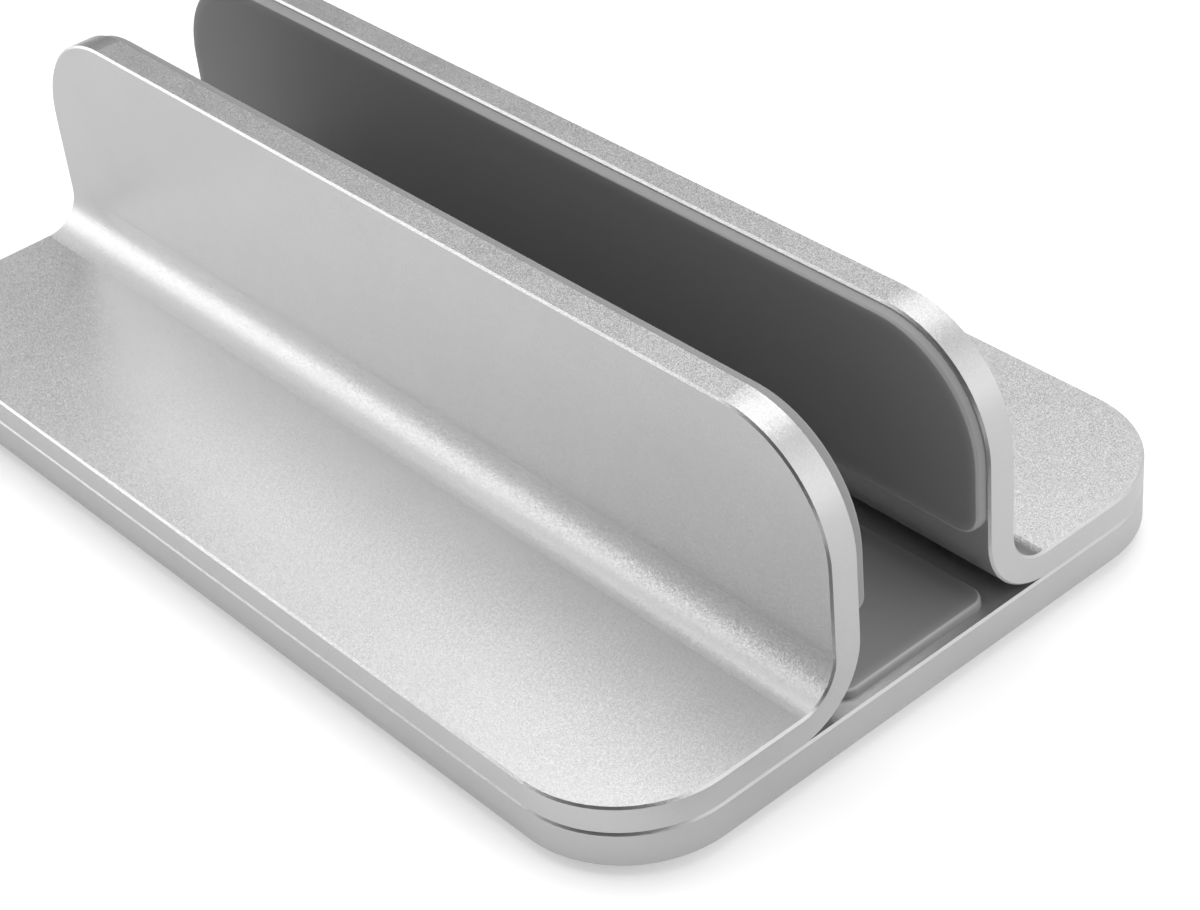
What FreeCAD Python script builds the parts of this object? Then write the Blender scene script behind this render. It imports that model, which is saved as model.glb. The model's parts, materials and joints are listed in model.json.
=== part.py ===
import FreeCAD, Part
import math
import os
from types import SimpleNamespace

import Sketcher

# Vertical laptop stand: two bent aluminium brackets clamped to a base plate, with a
# slot between them for a closed laptop. Millimetres. X runs across the slot, Y along
# it and Z up. The origin is the middle of the footprint, on the surface it stands on.

DRIVING_SIZES = (
    ("base_width", "120", "base plate across the slot, flush with both flanges"),
    ("base_length", "193", "base plate and brackets along the slot"),
    ("base_thickness", "6.2", "base plate"),
    ("plan_corner_radius", "19.3", "corners of the base plate and the flanges, from above"),
    ("edge_chamfer", "0.35", "broken edge round every aluminium plate"),
    ("bare_slot", "26.3", "between the two uprights, without their pads"),
    ("flange_thickness", "4.9", "the leg of a bracket that lies on the base plate"),
    ("upright_thickness", "5.4", "the leg of a bracket that stands"),
    ("upright_height", "46.3", "top of an upright above the base plate"),
    ("upright_corner_radius", "19.7", "top corners of an upright, from the side"),
    ("bend_outer_radius", "12.8", "bend on the slot side"),
    ("bend_inner_radius", "6.7", "bend on the open side"),
    ("side_pad_thickness", "1.8", "silicone pad on an upright"),
    ("side_pad_inset", "0.6", "bare rim of the upright round its pad"),
    ("side_pad_bend_gap", "1.3", "from the start of the bend up to the pad"),
    ("side_pad_lower_radius", "4.5", "lower corners of a side pad"),
    ("side_pad_edge_chamfer", "0.5", "edge of a side pad"),
    ("base_pad_thickness", "1.5", "silicone pad on the base plate"),
    ("base_pad_end_inset", "2", "from each end of the base plate to the pad"),
    ("base_pad_corner_radius", "3", "corners of the base pad, from above"),
    ("base_pad_edge_chamfer", "0.5", "edge of the base pad"),
    ("bend_clearance", "0.5", "from a bend to the base pad's edge at full travel"),
    ("slide_travel", "4.2", "how far each bracket slides towards the slot"),
    ("screw_from_edge", "15", "screw axis from the outer edge of its flange"),
    ("screw_spacing", "116", "between the two screws of a bracket"),
    ("screw_shank_diameter", "4", "clamp screw"),
    ("screw_shank_length", "7", "clamp screw, under its head"),
    ("screw_tip_chamfer", "0.4", "clamp screw"),
    ("screw_head_diameter", "7.6", "clamp screw"),
    ("screw_head_height", "2.2", "clamp screw"),
    ("screw_head_chamfer", "0.5", "clamp screw"),
    ("hex_key_width", "2.5", "hex socket across its flats"),
    ("hex_socket_depth", "1.4", "hex socket"),
    ("washer_diameter", "9", "plain washer"),
    ("washer_thickness", "0.8", "plain washer"),
    ("washer_bore_clearance", "0.15", "round the shank in the washer"),
    ("thread_clearance", "0.1", "round the shank in the flange's hole"),
    ("thread_end_clearance", "0.5", "past the shank's tip in the flange's hole"),
    ("slot_clearance", "0.35", "round the shank in the base plate's slot"),
    ("recess_clearance", "0.5", "round the washer in the recess below the slot"),
    ("head_clearance", "0.2", "from the screw head up to the base plate's underside"),
    ("foot_diameter", "14", "silicone foot"),
    ("foot_stand_off", "1.8", "how far a foot holds the base plate off the surface"),
    ("foot_recess_depth", "0.6", "shallow recess that a foot sits in"),
    ("foot_recess_clearance", "0.15", "round a foot in its recess"),
    ("foot_edge_chamfer", "0.5", "lower edge of a foot"),
    ("foot_from_side", "14", "foot centre from the base plate's long edge"),
    ("foot_from_end", "15", "foot centre from the base plate's end"),
)

SHARP_TURN = math.radians(30)
NEAR = 1e-6


class Size:
    """A length that holds its number and the sheet expression that gives it."""

    def __init__(self, number, text):
        self.number = number
        self.text = text

    def __add__(self, other):
        other = as_size(other)
        return Size(self.number + other.number, f"({self.text} + {other.text})")

    def __sub__(self, other):
        other = as_size(other)
        return Size(self.number - other.number, f"({self.text} - {other.text})")

    def __mul__(self, other):
        other = as_size(other)
        return Size(self.number * other.number, f"({self.text} * {other.text})")

    def __truediv__(self, other):
        other = as_size(other)
        return Size(self.number / other.number, f"({self.text} / {other.text})")

    def __neg__(self):
        return Size(-self.number, f"(-1 * {self.text})")

    def root(self):
        return Size(math.sqrt(self.number), f"sqrt({self.text})")


def as_size(value):
    return value if isinstance(value, Size) else Size(float(value), str(value))


ZERO = as_size(0)


def fill_sheet(sheet):
    """Writes the driving sizes into the sheet and returns them by name."""
    sizes = SimpleNamespace()
    for row, (name, number, meaning) in enumerate(DRIVING_SIZES, start=1):
        sheet.set(f"A{row}", name)
        sheet.set(f"B{row}", number)
        sheet.set(f"C{row}", meaning)
        sheet.setAlias(f"B{row}", name)
        setattr(sizes, name, Size(float(number), f"Sizes.{name}"))
    return sizes


def new_body(label):
    body = doc.addObject("PartDesign::Body", label)
    body.Label = label
    return body


def place(body, x, y, z, turn=0):
    """Sets a body down at a point, turned about Z by whole degrees."""
    body.Placement = FreeCAD.Placement(
        FreeCAD.Vector(x.number, y.number, z.number), FreeCAD.Rotation(FreeCAD.Vector(0, 0, 1), turn)
    )
    body.setExpression("Placement.Base.x", x.text)
    body.setExpression("Placement.Base.y", y.text)
    body.setExpression("Placement.Base.z", z.text)


def sketch_on(body, name, plane, offset=ZERO):
    """An empty sketch on one of the body's own origin planes, moved along its normal."""
    sketch = body.newObject("Sketcher::SketchObject", name)
    support = next(item for item in body.Origin.OriginFeatures if item.Role == plane)
    sketch.AttachmentSupport = [(support, "")]
    sketch.MapMode = "FlatFace"
    sketch.AttachmentOffset = FreeCAD.Placement(FreeCAD.Vector(0, 0, offset.number), FreeCAD.Rotation())
    sketch.setExpression("AttachmentOffset.Base.z", offset.text)
    return sketch


def bind(sketch, kind, *where, size):
    """Adds a dimension to a sketch and binds it to the sheet."""
    index = sketch.addConstraint(Sketcher.Constraint(kind, *where, size.number))
    sketch.setExpression(f"Constraints[{index}]", size.text)


def pin(sketch, kind, geometry, point, size):
    """Holds a point at a signed distance from the sketch's origin, along X or Y."""
    axis = -2 if kind == "DistanceX" else -1
    if abs(size.number) < NEAR:
        sketch.addConstraint(Sketcher.Constraint("PointOnObject", geometry, point, axis))
    elif size.number > 0:
        bind(sketch, kind, -1, 1, geometry, point, size=size)
    else:
        bind(sketch, kind, geometry, point, -1, 1, size=-size)


def outline(sketch, corners):
    """A closed outline of upright and level sides. Each corner is x, y and its radius or None."""
    count = len(corners)
    points = [FreeCAD.Vector(x.number, y.number, 0) for x, y, radius in corners]
    ahead = [(points[(i + 1) % count] - points[i]).normalize() for i in range(count)]
    trims = [radius.number if radius else 0.0 for x, y, radius in corners]
    sides = []
    for i in range(count):
        nxt = (i + 1) % count
        start = points[i] + ahead[i] * trims[i]
        end = points[nxt] - ahead[i] * trims[nxt]
        sides.append(sketch.addGeometry(Part.LineSegment(start, end), False))
    for i in range(count):
        nxt = (i + 1) % count
        level = abs(ahead[i].y) < NEAR
        sketch.addConstraint(Sketcher.Constraint("Horizontal" if level else "Vertical", sides[i]))
        pin(sketch, "DistanceY" if level else "DistanceX", sides[i], 1, corners[i][1 if level else 0])
        radius = corners[nxt][2]
        if radius is None:
            sketch.addConstraint(Sketcher.Constraint("Coincident", sides[i], 2, sides[nxt], 1))
            continue
        start = points[nxt] - ahead[i] * trims[nxt]
        end = points[nxt] + ahead[nxt] * trims[nxt]
        inward = (ahead[nxt] - ahead[i]).normalize()
        middle = points[nxt] + inward * (trims[nxt] * (math.sqrt(2) - 1))
        arc = sketch.addGeometry(Part.Arc(start, middle, end), False)
        turns_left = ahead[i].cross(ahead[nxt]).z > 0
        first, last = (1, 2) if turns_left else (2, 1)
        sketch.addConstraint(Sketcher.Constraint("Tangent", sides[i], 2, arc, first))
        sketch.addConstraint(Sketcher.Constraint("Tangent", arc, last, sides[nxt], 1))
        bind(sketch, "Radius", arc, size=radius)


def slot_outline(sketch, first_x, last_x, y, width):
    """A slot along X between two end centres."""
    axis = FreeCAD.Vector(0, 0, 1)
    first = FreeCAD.Vector(first_x.number, y.number, 0)
    last = FreeCAD.Vector(last_x.number, y.number, 0)
    aside = FreeCAD.Vector(0, width.number / 2, 0)
    quarter = math.pi / 2
    lower = sketch.addGeometry(Part.LineSegment(first - aside, last - aside))
    right = sketch.addGeometry(Part.ArcOfCircle(Part.Circle(last, axis, aside.y), -quarter, quarter))
    upper = sketch.addGeometry(Part.LineSegment(last + aside, first + aside))
    left = sketch.addGeometry(Part.ArcOfCircle(Part.Circle(first, axis, aside.y), quarter, 3 * quarter))
    for one, two in ((lower, right), (right, upper), (upper, left), (left, lower)):
        sketch.addConstraint(Sketcher.Constraint("Tangent", one, 2, two, 1))
    sketch.addConstraint(Sketcher.Constraint("Horizontal", lower))
    sketch.addConstraint(Sketcher.Constraint("Equal", left, right))
    bind(sketch, "Radius", right, size=width / 2)
    pin(sketch, "DistanceX", left, 3, first_x)
    pin(sketch, "DistanceX", right, 3, last_x)
    pin(sketch, "DistanceY", right, 3, y)


def circle(sketch, x, y, diameter):
    centre = FreeCAD.Vector(x.number, y.number, 0)
    ring = sketch.addGeometry(Part.Circle(centre, FreeCAD.Vector(0, 0, 1), diameter.number / 2), False)
    bind(sketch, "Diameter", ring, size=diameter)
    pin(sketch, "DistanceX", ring, 3, x)
    pin(sketch, "DistanceY", ring, 3, y)


def hexagon(sketch, across_flats):
    """A regular hexagon about the sketch's origin."""
    sixth = math.pi / 3
    across_corners = across_flats / math.cos(sixth / 2)
    reach = across_corners.number / 2
    ring = sketch.addGeometry(Part.Circle(FreeCAD.Vector(), FreeCAD.Vector(0, 0, 1), reach), True)
    sketch.addConstraint(Sketcher.Constraint("Coincident", ring, 3, -1, 1))
    bind(sketch, "Diameter", ring, size=across_corners)
    tips = [FreeCAD.Vector(math.cos(k * sixth), math.sin(k * sixth)) * reach for k in range(6)]
    sides = [sketch.addGeometry(Part.LineSegment(tips[k], tips[(k + 1) % 6]), False) for k in range(6)]
    for k in range(6):
        sketch.addConstraint(Sketcher.Constraint("Coincident", sides[k], 2, sides[(k + 1) % 6], 1))
        sketch.addConstraint(Sketcher.Constraint("PointOnObject", sides[k], 1, ring))
        if k:
            sketch.addConstraint(Sketcher.Constraint("Equal", sides[0], sides[k]))
    sketch.addConstraint(Sketcher.Constraint("PointOnObject", sides[0], 1, -1))


def pad(body, name, sketch, length, both_ways=False):
    feature = body.newObject("PartDesign::Pad", name)
    feature.Profile = sketch
    feature.Length = length.number
    feature.setExpression("Length", length.text)
    if both_ways:
        feature.SideType = "Symmetric"
    return settle(feature)


def pocket_upwards(body, name, sketch, depth):
    """Cuts from a sketch that faces up, into the material above it."""
    before = body.Shape.Volume
    feature = body.newObject("PartDesign::Pocket", name)
    feature.Profile = sketch
    feature.Reversed = True
    feature.Length = depth.number
    feature.setExpression("Length", depth.text)
    settle(feature)
    if body.Shape.Volume > before - NEAR:
        raise RuntimeError(f"{name} cut nothing")
    return feature


def round_edges(body, name, base, edges, radius):
    feature = body.newObject("PartDesign::Fillet", name)
    feature.Base = (base, edges)
    feature.Radius = radius.number
    feature.setExpression("Radius", radius.text)
    return settle(feature)


def break_edges(body, name, base, edges, width):
    feature = body.newObject("PartDesign::Chamfer", name)
    feature.Base = (base, edges)
    feature.Size = width.number
    feature.setExpression("Size", width.text)
    return settle(feature)


def settle(feature):
    doc.recompute()
    if {"Invalid", "Error"} & set(feature.State):
        raise RuntimeError(f"{feature.Name} can't be made")
    return feature


def edges_where(feature, wanted):
    """Names of the edges for which wanted(edge, its middle point) is true."""
    names = []
    for number, edge in enumerate(feature.Shape.Edges, start=1):
        middle = edge.valueAt((edge.FirstParameter + edge.LastParameter) / 2)
        if wanted(edge, middle):
            names.append(f"Edge{number}")
    if not names:
        raise RuntimeError(f"no edge of {feature.Name} fits")
    return names


def is_sharp(shape, edge):
    """True where the two faces at an edge turn by more than a smooth join does."""
    middle = edge.valueAt((edge.FirstParameter + edge.LastParameter) / 2)
    normals = []
    for face in shape.ancestorsOfType(edge, Part.Face):
        normals.append(face.normalAt(*face.Surface.parameter(middle)))
    return len(normals) == 2 and normals[0].getAngle(normals[1]) > SHARP_TURN


def sharp_edges(feature):
    return edges_where(feature, lambda edge, middle: is_sharp(feature.Shape, edge))


def runs_along(edge, direction):
    ends = edge.Vertexes[-1].Point - edge.Vertexes[0].Point
    return ends.Length > NEAR and ends.cross(direction).Length < NEAR


def make_base_plate():
    """Rounded plate with a stepped slot over each clamp screw and a recess over each foot."""
    body = new_body("base_plate")
    half_width, half_length = size.base_width / 2, size.base_length / 2
    radius = size.plan_corner_radius
    plan = sketch_on(body, "base_plan", "XY_Plane")
    outline(
        plan,
        (
            (-half_width, -half_length, radius),
            (half_width, -half_length, radius),
            (half_width, half_length, radius),
            (-half_width, half_length, radius),
        ),
    )
    plate = pad(body, "base_block", plan, size.base_thickness)
    break_edges(body, "base_edges", plate, sharp_edges(plate), size.edge_chamfer)

    slots = sketch_on(body, "clamp_slots", "XY_Plane")
    recesses = sketch_on(body, "clamp_recesses", "XY_Plane")
    for side in (-1, 1):
        ends = sorted((screw_x * side, (screw_x - size.slide_travel) * side), key=lambda x: x.number)
        for end in (-1, 1):
            slot_outline(slots, *ends, screw_y * end, size.screw_shank_diameter + size.slot_clearance * 2)
            slot_outline(recesses, *ends, screw_y * end, size.washer_diameter + size.recess_clearance * 2)
    pocket_upwards(body, "clamp_slot_cut", slots, size.base_thickness)
    pocket_upwards(body, "clamp_recess_cut", recesses, recess_depth)

    foot_recesses = sketch_on(body, "foot_recesses", "XY_Plane")
    for side in (-1, 1):
        for end in (-1, 1):
            bore = size.foot_diameter + size.foot_recess_clearance * 2
            circle(foot_recesses, foot_x * side, foot_y * end, bore)
    pocket_upwards(body, "foot_recess_cut", foot_recesses, size.foot_recess_depth)
    place(body, ZERO, ZERO, size.foot_stand_off)
    return body


def make_bracket(label, turn):
    """One bent plate: flange, bend and upright, with blind holes for its two screws."""
    body = new_body(label)
    section = sketch_on(body, f"{label}_section", "XZ_Plane")
    edge_x = size.base_width / 2
    back_x = slot_face_x + size.upright_thickness
    outline(
        section,
        (
            (slot_face_x, ZERO, size.bend_outer_radius),
            (edge_x, ZERO, None),
            (edge_x, size.flange_thickness, None),
            (back_x, size.flange_thickness, size.bend_inner_radius),
            (back_x, size.upright_height, None),
            (slot_face_x, size.upright_height, None),
        ),
    )
    blank = pad(body, f"{label}_blank", section, size.base_length, both_ways=True)
    up, across = FreeCAD.Vector(0, 0, 1), FreeCAD.Vector(1, 0, 0)
    half_length = size.base_length.number / 2

    def is_flange_corner(edge, middle):
        return runs_along(edge, up) and abs(middle.x - edge_x.number) < NEAR

    def is_upright_corner(edge, middle):
        at_end = abs(abs(middle.y) - half_length) < NEAR
        return at_end and runs_along(edge, across) and abs(middle.z - size.upright_height.number) < NEAR

    corners = edges_where(blank, is_flange_corner)
    flange = round_edges(body, f"{label}_flange_corners", blank, corners, size.plan_corner_radius)
    corners = edges_where(flange, is_upright_corner)
    upright = round_edges(body, f"{label}_upright_corners", flange, corners, size.upright_corner_radius)
    break_edges(body, f"{label}_edges", upright, sharp_edges(upright), size.edge_chamfer)

    holes = sketch_on(body, f"{label}_screw_holes", "XY_Plane")
    for end in (-1, 1):
        circle(holes, screw_x, screw_y * end, size.screw_shank_diameter + size.thread_clearance * 2)
    pocket_upwards(body, f"{label}_screw_hole_cut", holes, thread_depth + size.thread_end_clearance)
    place(body, ZERO, ZERO, base_top, turn)
    return body


def make_side_pad(label, turn):
    """Soft pad on the slot face of an upright, with the upright's own outline set inwards."""
    body = new_body(label)
    half_length = size.base_length / 2 - size.side_pad_inset
    low = size.bend_outer_radius + size.side_pad_bend_gap
    high = size.upright_height - size.side_pad_inset
    low_radius = size.side_pad_lower_radius
    high_radius = size.upright_corner_radius - size.side_pad_inset
    face = sketch_on(body, f"{label}_outline", "YZ_Plane", slot_face_x - size.side_pad_thickness)
    outline(
        face,
        (
            (-half_length, low, low_radius),
            (half_length, low, low_radius),
            (half_length, high, high_radius),
            (-half_length, high, high_radius),
        ),
    )
    sheet_of_silicone = pad(body, f"{label}_sheet", face, size.side_pad_thickness)
    slot_side = slot_face_x.number - size.side_pad_thickness.number
    rim = edges_where(sheet_of_silicone, lambda edge, middle: abs(middle.x - slot_side) < NEAR)
    break_edges(body, f"{label}_edge", sheet_of_silicone, rim, size.side_pad_edge_chamfer)
    place(body, ZERO, ZERO, base_top, turn)
    return body


def make_base_pad():
    """Soft pad on the base plate, which reaches as far under the bends as the travel allows."""
    body = new_body("base_pad")
    half_length = size.base_length / 2 - size.base_pad_end_inset
    bend, thickness = size.bend_outer_radius, size.base_pad_thickness
    under_bend = bend - (bend * bend - (bend - thickness) * (bend - thickness)).root()
    half_width = slot_face_x + under_bend - size.slide_travel - size.bend_clearance
    radius = size.base_pad_corner_radius
    plan = sketch_on(body, "base_pad_plan", "XY_Plane")
    outline(
        plan,
        (
            (-half_width, -half_length, radius),
            (half_width, -half_length, radius),
            (half_width, half_length, radius),
            (-half_width, half_length, radius),
        ),
    )
    sheet_of_silicone = pad(body, "base_pad_sheet", plan, thickness)
    rim = edges_where(sheet_of_silicone, lambda edge, middle: abs(middle.z - thickness.number) < NEAR)
    break_edges(body, "base_pad_edge", sheet_of_silicone, rim, size.base_pad_edge_chamfer)
    place(body, ZERO, ZERO, base_top)
    return body


def make_screw(label, side, end):
    """Low-head socket screw, head down. Its own zero is the seat under the head."""
    body = new_body(label)
    half_profile = sketch_on(body, f"{label}_profile", "XZ_Plane")
    shank, head = size.screw_shank_diameter / 2, size.screw_head_diameter / 2
    outline(
        half_profile,
        (
            (ZERO, -size.screw_head_height, None),
            (head, -size.screw_head_height, None),
            (head, ZERO, None),
            (shank, ZERO, None),
            (shank, size.screw_shank_length, None),
            (ZERO, size.screw_shank_length, None),
        ),
    )
    turned = body.newObject("PartDesign::Revolution", f"{label}_turned")
    turned.Profile = half_profile
    turned.ReferenceAxis = (half_profile, ["V_Axis"])
    settle(turned)
    tip_z, head_z = size.screw_shank_length.number, -size.screw_head_height.number
    tip_edge = edges_where(turned, lambda edge, middle: abs(middle.z - tip_z) < NEAR)
    tip = break_edges(body, f"{label}_tip", turned, tip_edge, size.screw_tip_chamfer)
    head_edge = edges_where(tip, lambda edge, middle: abs(middle.z - head_z) < NEAR)
    break_edges(body, f"{label}_head_edge", tip, head_edge, size.screw_head_chamfer)
    socket = sketch_on(body, f"{label}_socket", "XY_Plane", -size.screw_head_height)
    hexagon(socket, size.hex_key_width)
    pocket_upwards(body, f"{label}_socket_cut", socket, size.hex_socket_depth)
    place(body, screw_x * side, screw_y * end, washer_seat_z - size.washer_thickness)
    return body


def make_washer(label, side, end):
    body = new_body(label)
    rings = sketch_on(body, f"{label}_plan", "XY_Plane")
    circle(rings, ZERO, ZERO, size.washer_diameter)
    circle(rings, ZERO, ZERO, size.screw_shank_diameter + size.washer_bore_clearance * 2)
    pad(body, f"{label}_disc", rings, size.washer_thickness)
    place(body, screw_x * side, screw_y * end, washer_seat_z - size.washer_thickness)
    return body


def make_foot(label, side, end):
    body = new_body(label)
    plan = sketch_on(body, f"{label}_plan", "XY_Plane")
    circle(plan, ZERO, ZERO, size.foot_diameter)
    disc = pad(body, f"{label}_disc", plan, size.foot_stand_off + size.foot_recess_depth)
    rim = edges_where(disc, lambda edge, middle: abs(middle.z) < NEAR)
    break_edges(body, f"{label}_lower_edge", disc, rim, size.foot_edge_chamfer)
    place(body, foot_x * side, foot_y * end, ZERO)
    return body


def check(parts):
    for item in doc.Objects:
        if {"Invalid", "Error"} & set(item.State):
            raise RuntimeError(f"{item.Name} failed")
    for part in parts:
        if part.Shape.isNull() or not part.Shape.isValid() or len(part.Shape.Solids) != 1:
            raise RuntimeError(f"{part.Label} isn't one valid solid")


doc = FreeCAD.newDocument("laptop_stand")
size = fill_sheet(doc.addObject("Spreadsheet::Sheet", "Sizes"))
doc.recompute()

# Places that several pieces share
base_top = size.foot_stand_off + size.base_thickness
slot_face_x = size.bare_slot / 2
screw_x = size.base_width / 2 - size.screw_from_edge
screw_y = size.screw_spacing / 2
recess_depth = size.washer_thickness + size.screw_head_height + size.head_clearance
washer_seat_z = size.foot_stand_off + recess_depth
thread_depth = size.screw_shank_length - size.washer_thickness - (size.base_thickness - recess_depth)
foot_x = size.base_width / 2 - size.foot_from_side
foot_y = size.base_length / 2 - size.foot_from_end

parts = [make_base_plate(), make_base_pad()]
for side_name, side, turn in (("right", 1, 0), ("left", -1, 180)):
    parts.append(make_bracket(f"{side_name}_bracket", turn))
    parts.append(make_side_pad(f"{side_name}_side_pad", turn))
    for end_name, end in (("front", -1), ("rear", 1)):
        parts.append(make_screw(f"{side_name}_{end_name}_screw", side, end))
        parts.append(make_washer(f"{side_name}_{end_name}_washer", side, end))
        parts.append(make_foot(f"{side_name}_{end_name}_foot", side, end))

doc.recompute()
check(parts)
os.makedirs("parts", exist_ok=True)
for part in parts:
    part.Shape.exportStep(f"parts/{part.Label}.step")
    print(f"{part.Label:20s} {part.Shape.Volume:10.1f} mm3")
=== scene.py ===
import json
import math

import bmesh
import bpy
from mathutils import Matrix, Vector


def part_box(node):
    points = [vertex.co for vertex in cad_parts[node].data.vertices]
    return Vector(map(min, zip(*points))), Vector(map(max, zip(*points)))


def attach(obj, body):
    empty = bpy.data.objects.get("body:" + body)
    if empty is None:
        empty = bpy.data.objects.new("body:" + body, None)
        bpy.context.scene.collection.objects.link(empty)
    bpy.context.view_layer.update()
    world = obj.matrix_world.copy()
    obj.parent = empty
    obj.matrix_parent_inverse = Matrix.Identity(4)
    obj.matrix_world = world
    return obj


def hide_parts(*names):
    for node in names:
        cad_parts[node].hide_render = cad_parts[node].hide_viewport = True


# Looks of a vertical laptop stand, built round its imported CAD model. Metres, with X
# across the slot, Y along it and Z up from the surface that the feet stand on.

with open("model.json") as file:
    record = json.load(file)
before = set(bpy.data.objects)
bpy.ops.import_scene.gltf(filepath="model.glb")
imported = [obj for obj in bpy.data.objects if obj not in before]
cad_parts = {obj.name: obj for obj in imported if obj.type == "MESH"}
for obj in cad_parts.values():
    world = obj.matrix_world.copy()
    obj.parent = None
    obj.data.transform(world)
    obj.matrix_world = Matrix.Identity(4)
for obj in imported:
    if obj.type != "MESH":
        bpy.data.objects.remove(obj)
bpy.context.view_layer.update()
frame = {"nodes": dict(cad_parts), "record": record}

MM = 0.001


def linear(hex_colour):
    """Turns an sRGB hex colour into the linear colour that a shader socket takes."""
    channels = [int(hex_colour[i:i + 2], 16) / 255 for i in (1, 3, 5)]
    return (*(c / 12.92 if c <= 0.04045 else ((c + 0.055) / 1.055) ** 2.4 for c in channels), 1)


def add_node(tree, kind, settings=None, values=None, links=None):
    """Adds a node, with its settings, its sockets' values and its links from other sockets."""
    node = tree.nodes.new(kind)
    for name, value in (settings or {}).items():
        setattr(node, name, value)
    for socket, value in (values or {}).items():
        node.inputs[socket].default_value = value
    for socket, source in (links or {}).items():
        tree.links.new(source, node.inputs[socket])
    return node


def new_material(name):
    """An empty material and its node tree."""
    material = bpy.data.materials.new(name)
    material.use_nodes = True
    material.node_tree.nodes.clear()
    return material, material.node_tree


def new_object(name, mesh):
    """An object of that mesh, in the scene."""
    thing = bpy.data.objects.new(name, mesh)
    bpy.context.scene.collection.objects.link(thing)
    return thing


def cells_per_metre(size_mm):
    """Noise scale for which one cell of the pattern is that many millimetres wide."""
    return 1 / (size_mm * MM)


# Camera

# Found by fitting the object's edges to the photograph, 1200 by 910 pixels
CAMERA_PLACE = Vector((-0.22359, -0.31105, 0.27521))
CAMERA_RIGHT = Vector((0.74353, -0.66307, -0.08663))
CAMERA_AHEAD = Vector((0.49738, 0.63497, -0.59112))
CAMERA_LENS = 84.79
SENSOR_WIDTH = 36
NEAREST_SEEN = 10 * MM


def place_camera():
    back = -CAMERA_AHEAD.normalized()
    right = (CAMERA_RIGHT - back * CAMERA_RIGHT.dot(back)).normalized()
    turn = Matrix((right, back.cross(right), back)).transposed().to_4x4()
    data = bpy.data.cameras.new("camera")
    data.lens = CAMERA_LENS
    data.sensor_width = SENSOR_WIDTH
    data.clip_start = NEAREST_SEEN
    camera = new_object("camera", data)
    camera.matrix_world = Matrix.Translation(CAMERA_PLACE) @ turn
    bpy.context.scene.camera = camera


# Materials

# The real dents are about 0.05 mm wide. They are drawn wider, so that they show.
DENT_WIDTH_MM = 0.12
DENT_FACING_MIDDLE = (0.5, 0.5, 0.5)
ANODISING_PATCH_MM = 18
MOULD_TEXTURE_MM = 0.25
TOOL_MARK_MM = 0.4
# Name of the mesh value that says how much painted highlight lightens the silicone there
PAINTED_HIGHLIGHT_NAME = "painted_highlight"


def blasted_anodised_aluminium(name, dent_tilt, smoothest, roughest):
    """Aluminium, blasted with fine beads and clear anodised: a pale satin metal with a fine
    grain of small dents, which glitter where the light on them changes. The anodising
    leaves broad patches of slightly different tint and gloss."""
    material, tree = new_material(name)
    place = add_node(tree, "ShaderNodeTexCoord").outputs["Object"]
    dents = add_node(tree, "ShaderNodeTexVoronoi",
                     values={"Scale": cells_per_metre(DENT_WIDTH_MM)}, links={"Vector": place})
    patches = add_node(tree, "ShaderNodeTexNoise",
                       values={"Scale": cells_per_metre(ANODISING_PATCH_MM), "Detail": 3.0},
                       links={"Vector": place})
    tint = add_node(tree, "ShaderNodeMix", {"data_type": "RGBA"},
                    values={6: linear("#CFCFCF"), 7: linear("#D9D9D9")},
                    links={0: patches.outputs["Fac"]})
    roughness = add_node(tree, "ShaderNodeMapRange",
                         values={"To Min": smoothest, "To Max": roughest},
                         links={"Value": patches.outputs["Fac"]})
    # Each dent faces its own way, by a few degrees
    aside = add_node(tree, "ShaderNodeVectorMath", {"operation": "SUBTRACT"},
                     values={1: DENT_FACING_MIDDLE}, links={0: dents.outputs["Color"]})
    surface = add_node(tree, "ShaderNodeNewGeometry").outputs["Normal"]
    tilt = add_node(tree, "ShaderNodeVectorMath", {"operation": "MULTIPLY_ADD"},
                    values={1: (dent_tilt, dent_tilt, dent_tilt)},
                    links={0: aside.outputs["Vector"], 2: surface})
    facing = add_node(tree, "ShaderNodeVectorMath", {"operation": "NORMALIZE"},
                      links={0: tilt.outputs["Vector"]})
    metal = add_node(tree, "ShaderNodeBsdfPrincipled", values={"Metallic": 0.88},
                     links={"Base Color": tint.outputs[2], "Roughness": roughness.outputs["Result"],
                            "Normal": facing.outputs["Vector"]})
    add_node(tree, "ShaderNodeOutputMaterial", links={"Surface": metal.outputs["BSDF"]})
    return material


def moulded_silicone(name, colour, roughness, painted_highlight_colour=None):
    """Silicone rubber from a fine satin mould: soft, even and slightly waxy, with no grain
    that the eye makes out. Given a highlight colour, it gets a painted highlight on its rolled
    edges and sides."""
    material, tree = new_material(name)
    place = add_node(tree, "ShaderNodeTexCoord").outputs["Object"]
    texture = add_node(tree, "ShaderNodeTexNoise",
                       values={"Scale": cells_per_metre(MOULD_TEXTURE_MM), "Detail": 1.0},
                       links={"Vector": place})
    bump = add_node(tree, "ShaderNodeBump",
                    values={"Strength": 0.1, "Distance": 0.01 * MM},
                    links={"Height": texture.outputs["Fac"]})
    rubber = add_node(tree, "ShaderNodeBsdfPrincipled",
                      values={"Base Color": linear(colour), "Roughness": roughness, "IOR": 1.41},
                      links={"Normal": bump.outputs["Normal"]})
    # Painted highlight: where the mesh value is high, the colour is mixed toward the paler
    # highlight colour
    if painted_highlight_colour:
        painted_highlight = add_node(tree, "ShaderNodeAttribute", {"attribute_name": PAINTED_HIGHLIGHT_NAME})
        shade = add_node(tree, "ShaderNodeMix", {"data_type": "RGBA"},
                         values={6: linear(colour), 7: linear(painted_highlight_colour)},
                         links={0: painted_highlight.outputs["Fac"]})
        tree.links.new(shade.outputs[2], rubber.inputs["Base Color"])
    add_node(tree, "ShaderNodeOutputMaterial", links={"Surface": rubber.outputs["BSDF"]})
    return material


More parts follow.
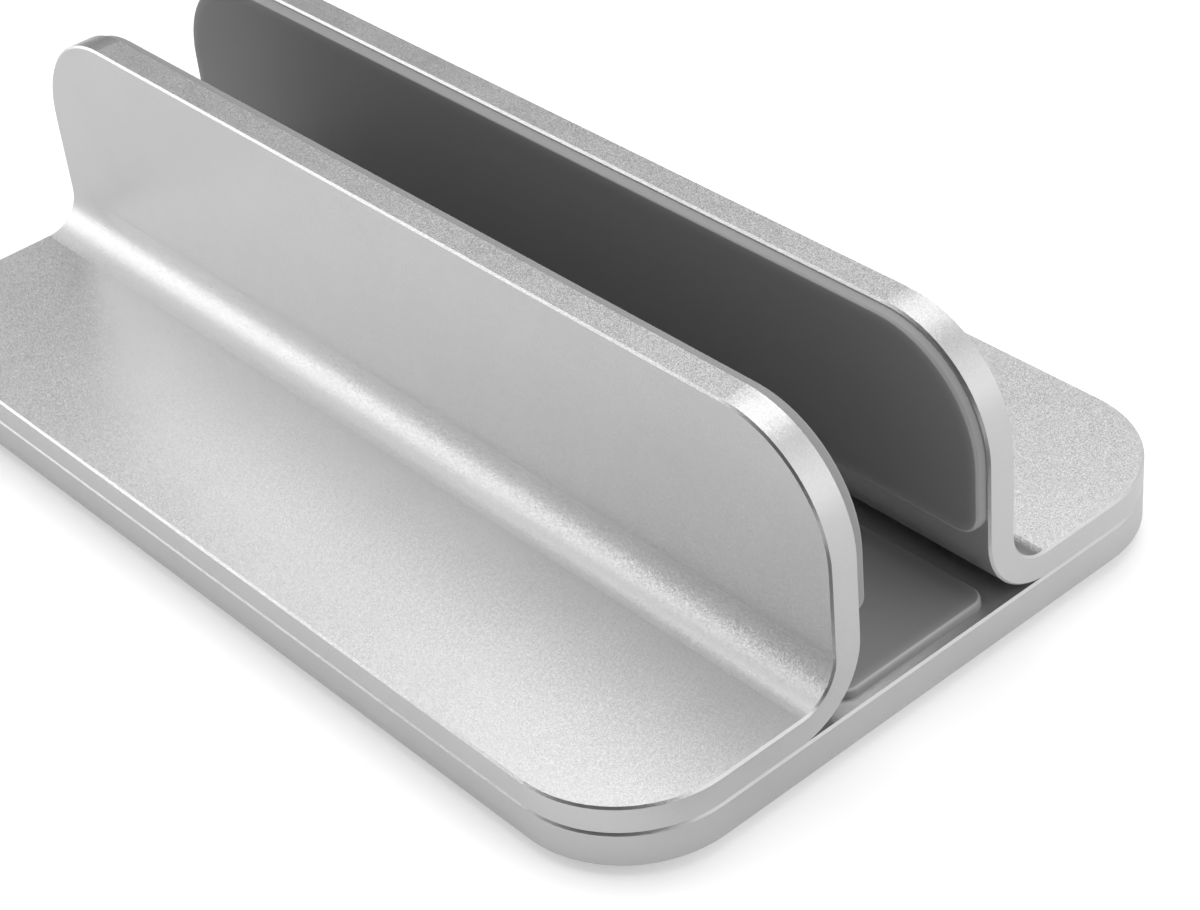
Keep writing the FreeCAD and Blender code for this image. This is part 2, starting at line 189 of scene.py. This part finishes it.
def stainless_steel(name, colour, roughness):
    """Stainless steel, turned or stamped: a grey metal with faint tool marks."""
    material, tree = new_material(name)
    place = add_node(tree, "ShaderNodeTexCoord").outputs["Object"]
    marks = add_node(tree, "ShaderNodeTexNoise",
                     values={"Scale": cells_per_metre(TOOL_MARK_MM), "Detail": 4.0},
                     links={"Vector": place})
    bump = add_node(tree, "ShaderNodeBump",
                    values={"Strength": 0.2, "Distance": 0.02 * MM},
                    links={"Height": marks.outputs["Fac"]})
    metal = add_node(tree, "ShaderNodeBsdfPrincipled",
                     values={"Base Color": linear(colour), "Metallic": 1.0, "Roughness": roughness},
                     links={"Normal": bump.outputs["Normal"]})
    add_node(tree, "ShaderNodeOutputMaterial", links={"Surface": metal.outputs["BSDF"]})
    return material


# Studio

FLOOR_REACH = 4.0
FLOOR_GLOW_SEEN = 0.4
FLOOR_GLOW_MIRRORED = 0.11
# The black card's near left and far right corners
FLAG_NEAR, FLAG_FAR = Vector((-0.110, -0.200)), Vector((-0.008, -0.114))
FLAG_LIFT = 0.5 * MM
# Level of the studio where no glow reaches, where 1 is a white surface
STUDIO_DIM = 0.02
# Each glow's turn from +Y towards -X, its height and its spread in degrees, and its level
STUDIO_GLOWS = (
    (-150, 5, 40, 0.64),
    (-100, 5, 40, 0.79),
    (20, 5, 40, 1.21),
    (36, 12, 14, 0.5),
    (20, 14, 22, 0.5),
    (45, 14, 22, 0.52),
    (-175, 24, 24, 0.48),
    (28, 28, 16, 0.12),
    (-150, 32, 38, 0.73),
    (-100, 32, 38, 0.1),
    (10, 32, 38, 0.69),
    (46, 38, 22, 0.55),
    (28, 44, 16, 0.16),
    (-165, 48, 24, 0.49),
    (-140, 62, 36, 0.45),
    (-50, 62, 36, 1.96),
    (40, 62, 36, 0.27),
    (0, 88, 30, 0.89),
)


def pale_floor_paint():
    """A plain pale floor with a faint glow: the eye sees it white, with the object's shadow
    on it, and metal a little darker. It can be seen through from below."""
    material, tree = new_material("pale_floor_paint")
    path = add_node(tree, "ShaderNodeLightPath")
    mirrored = add_node(tree, "ShaderNodeMath", {"operation": "ADD"},
                        links={0: path.outputs["Is Glossy Ray"],
                               1: path.outputs["Is Transmission Ray"]})
    seen = add_node(tree, "ShaderNodeMath", {"operation": "MULTIPLY"},
                    values={1: FLOOR_GLOW_SEEN}, links={0: path.outputs["Is Camera Ray"]})
    lift = add_node(tree, "ShaderNodeMath", {"operation": "MULTIPLY_ADD"},
                    values={1: FLOOR_GLOW_MIRRORED},
                    links={0: mirrored.outputs["Value"], 2: seen.outputs["Value"]})
    glow = add_node(tree, "ShaderNodeEmission", values={"Color": linear("#FFFFFF")},
                    links={"Strength": lift.outputs["Value"]})
    paint = add_node(tree, "ShaderNodeBsdfDiffuse", values={"Color": linear("#F2F2F2")})
    lit = add_node(tree, "ShaderNodeAddShader",
                   links={0: paint.outputs["BSDF"], 1: glow.outputs["Emission"]})
    clear = add_node(tree, "ShaderNodeBsdfTransparent")
    underside = add_node(tree, "ShaderNodeNewGeometry").outputs["Backfacing"]
    mixed = add_node(tree, "ShaderNodeMixShader",
                     links={0: underside, 1: lit.outputs["Shader"], 2: clear.outputs["BSDF"]})
    add_node(tree, "ShaderNodeOutputMaterial", links={"Surface": mixed.outputs["Shader"]})
    return material


def dark_reflection_paint():
    """Near-black paint from which hardly any light comes back, for a card that puts a painted dark
    reflection in the metal.
    """
    material, tree = new_material("dark_reflection_paint")
    dark_reflection_bsdf = add_node(tree, "ShaderNodeBsdfDiffuse", values={"Color": linear("#161616")})
    add_node(tree, "ShaderNodeOutputMaterial", links={"Surface": dark_reflection_bsdf.outputs["BSDF"]})
    return material


def lay_sheet(name, near, far, height, material):
    """A level sheet of the studio, from its near left to its far right corner."""
    mesh = bpy.data.meshes.new(name)
    corners = [(near.x, near.y, height), (far.x, near.y, height),
               (far.x, far.y, height), (near.x, far.y, height)]
    mesh.from_pydata(corners, [], [(0, 1, 2, 3)])
    mesh.materials.append(material)
    sheet = new_object(name, mesh)
    return sheet


def lay_floor():
    reach = Vector((FLOOR_REACH, FLOOR_REACH))
    lay_sheet("floor", -reach, reach, 0, pale_floor_paint())


def lay_flag():
    """A black card on the floor before the near left corner, seen by the metal alone: a painted
    dark reflection that gives the edges that look that way their dark line. It casts no shadow."""
    flag = lay_sheet("dark_reflection_flag", FLAG_NEAR, FLAG_FAR, FLAG_LIFT, dark_reflection_paint())
    # Painted dark reflection: only mirrored rays see the card
    flag.visible_camera = flag.visible_shadow = False
    flag.visible_diffuse = flag.visible_transmission = False


def fill_world():
    """A studio lit by broad soft glows: brightest high up behind the object, paler overhead
    and to both sides, and dim behind the camera."""
    world = bpy.data.worlds.new("studio")
    world.use_nodes = True
    tree = world.node_tree
    tree.nodes.clear()
    direction = add_node(tree, "ShaderNodeTexCoord").outputs["Generated"]
    light = add_node(tree, "ShaderNodeValue").outputs["Value"]
    light.default_value = STUDIO_DIM
    for turn, height, spread, level in STUDIO_GLOWS:
        turn, height, spread = math.radians(turn), math.radians(height), math.radians(spread)
        middle = (-math.sin(turn) * math.cos(height), math.cos(turn) * math.cos(height),
                  math.sin(height))
        nearness = add_node(tree, "ShaderNodeVectorMath", {"operation": "DOT_PRODUCT"},
                            values={1: middle}, links={0: direction})
        glow = add_node(tree, "ShaderNodeMapRange", {"interpolation_type": "SMOOTHSTEP"},
                        values={"From Min": math.cos(spread), "From Max": 1.0, "To Max": level},
                        links={"Value": nearness.outputs["Value"]})
        light = add_node(tree, "ShaderNodeMath", {"operation": "ADD"},
                         links={0: light, 1: glow.outputs["Result"]}).outputs["Value"]
    studio = add_node(tree, "ShaderNodeBackground", values={"Color": linear("#FFFFFF")},
                      links={"Strength": light})
    add_node(tree, "ShaderNodeOutputWorld", links={"Surface": studio.outputs["Background"]})
    bpy.context.scene.world = world


# Pads

PAD_DRAFT = math.tan(math.radians(3))
PAD_EDGE_RADIUS = 0.6 * MM
PAD_CROWN = 0.04 * MM
PAD_CROWN_WIDTH = 2 * MM
PAD_CORNER_STEPS = 16
SIDE_PAD_LOWER_CORNER, SIDE_PAD_UPPER_CORNER = 4.5 * MM, 19.1 * MM
BASE_PAD_CORNER = 3 * MM
CREASE = math.radians(40)
# How much painted highlight lightens the silicone at the foot and top of its side, over the
# rolled edge, and on the face beside it
SIDE_PAINTED_HIGHLIGHT = (0.22, 0.28)
ROLL_PAINTED_HIGHLIGHT = (0.3, 0.36, 0.46, 0.66, 0.88, 0.78, 0.4, 0.22)
FACE_PAINTED_HIGHLIGHT = (0.1, 0.03, 0)


def rounded_outline(corners, steps):
    """Points and outward normals round an outline. Each corner is x, y and its radius."""
    count = len(corners)
    path = []
    for i, (x, y, radius) in enumerate(corners):
        here = Vector((x, y))
        before = (here - Vector(corners[i - 1][:2])).normalized()
        after = (Vector(corners[(i + 1) % count][:2]) - here).normalized()
        centre = here + (after - before) * radius
        first = math.atan2(-after.y, -after.x)
        for k in range(steps + 1):
            angle = first + math.pi / 2 * k / steps
            normal = Vector((math.cos(angle), math.sin(angle)))
            path.append((centre + normal * radius, normal))
    return path


def pad_profile(thickness):
    """Inset, height and painted highlight from a pad's foot, up its drafted side and over its
    rolled edge to the face, which rises a little to its middle."""
    side_top = thickness - PAD_EDGE_RADIUS
    lean = side_top * PAD_DRAFT
    profile = [(0, 0, SIDE_PAINTED_HIGHLIGHT[0]), (lean, side_top, SIDE_PAINTED_HIGHLIGHT[1])]
    for k, painted_highlight_level in enumerate(ROLL_PAINTED_HIGHLIGHT, 1):
        angle = math.pi / 2 * k / len(ROLL_PAINTED_HIGHLIGHT)
        profile.append((lean + PAD_EDGE_RADIUS * (1 - math.cos(angle)),
                        side_top - PAD_CROWN + PAD_EDGE_RADIUS * math.sin(angle), painted_highlight_level))
    for k, painted_highlight_level in enumerate(FACE_PAINTED_HIGHLIGHT, 1):
        part = k / len(FACE_PAINTED_HIGHLIGHT)
        profile.append((lean + PAD_EDGE_RADIUS + PAD_CROWN_WIDTH * part,
                        thickness - PAD_CROWN + PAD_CROWN * math.sin(part * math.pi / 2),
                        painted_highlight_level))
    return profile


def moulded_pad(name, corners, thickness, place):
    """A pad of silicone. place turns a point of it, with its back at zero, into the frame."""
    outline = rounded_outline(corners, PAD_CORNER_STEPS)
    mesh = bmesh.new()
    # Mesh value that carries the painted highlight to the material
    pale = mesh.verts.layers.float.new(PAINTED_HIGHLIGHT_NAME)
    rings = []
    for inset, height, painted_highlight_level in pad_profile(thickness):
        ring = [mesh.verts.new(place((*(point - normal * inset), height)))
                for point, normal in outline]
        for vertex in ring:
            vertex[pale] = painted_highlight_level
        rings.append(ring)
    for lower, upper in zip(rings, rings[1:]):
        for i in range(len(lower)):
            j = (i + 1) % len(lower)
            mesh.faces.new((lower[i], lower[j], upper[j], upper[i]))
    mesh.faces.new(rings[-1])
    mesh.faces.new(list(reversed(rings[0])))
    bmesh.ops.recalc_face_normals(mesh, faces=mesh.faces)
    data = bpy.data.meshes.new(name)
    mesh.to_mesh(data)
    mesh.free()
    data.shade_smooth()
    data.set_sharp_from_angle(angle=CREASE)
    return new_object(name, data)


def pad_from_node(node, body, material, across, lower_corner, upper_corner):
    """Stands a moulded pad in the place of a CAD pad. across is the direction its face looks."""
    low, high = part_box(node)
    if across.z:
        def place(point):
            return Vector((point[0], point[1], low.z + point[2]))
        (u0, u1), (v0, v1) = (low.x, high.x), (low.y, high.y)
        thickness = high.z - low.z
    else:
        back = high.x if across.x < 0 else low.x

        def place(point):
            return Vector((back + across.x * point[2], point[0], point[1]))
        (u0, u1), (v0, v1) = (low.y, high.y), (low.z, high.z)
        thickness = high.x - low.x
    corners = ((u0, v0, lower_corner), (u1, v0, lower_corner),
               (u1, v1, upper_corner), (u0, v1, upper_corner))
    piece = moulded_pad(node + "_moulding", corners, thickness, place)
    piece.data.materials.append(material)
    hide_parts(node)
    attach(piece, body)


place_camera()
lay_floor()
lay_flag()
fill_world()

# The brackets are blasted finer than the base plate, which glitters more
bracket_aluminium = blasted_anodised_aluminium("bead_blasted_anodised_aluminium", 0.14, 0.32, 0.37)
base_aluminium = blasted_anodised_aluminium("coarser_blasted_anodised_aluminium", 0.17, 0.42, 0.47)
# The pads' own grey is #8E8E8E; #D0D0D0 is the painted highlight on their rolled edges and sides
pad_rubber = moulded_silicone("moulded_grey_silicone", "#8E8E8E", 0.42, "#D0D0D0")
foot_rubber = moulded_silicone("moulded_dark_silicone", "#4A4A4A", 0.6)
screw_steel = stainless_steel("turned_stainless_steel", "#BDBDBD", 0.3)
washer_steel = stainless_steel("stamped_stainless_steel", "#C6C6C6", 0.38)
FINISHES = {
    "anodised_aluminium": bracket_aluminium,
    "pad_silicone": pad_rubber,
    "foot_silicone": foot_rubber,
    "screw_steel": screw_steel,
    "washer_steel": washer_steel,
}
for part in frame["record"]["subparts"]:
    finish = base_aluminium if part["node"] == "base_plate" else FINISHES[part["material_slot"]]
    for slot in frame["nodes"][part["node"]].material_slots:
        slot.material = finish

for side, body, across in (("right_side_pad", "right_slider", Vector((-1, 0, 0))),
                           ("left_side_pad", "left_slider", Vector((1, 0, 0)))):
    pad_from_node(side, body, pad_rubber, across, SIDE_PAD_LOWER_CORNER, SIDE_PAD_UPPER_CORNER)
pad_from_node("base_pad", "base", pad_rubber, Vector((0, 0, 1)), BASE_PAD_CORNER, BASE_PAD_CORNER)

bpy.context.scene.view_settings.view_transform = "Standard"
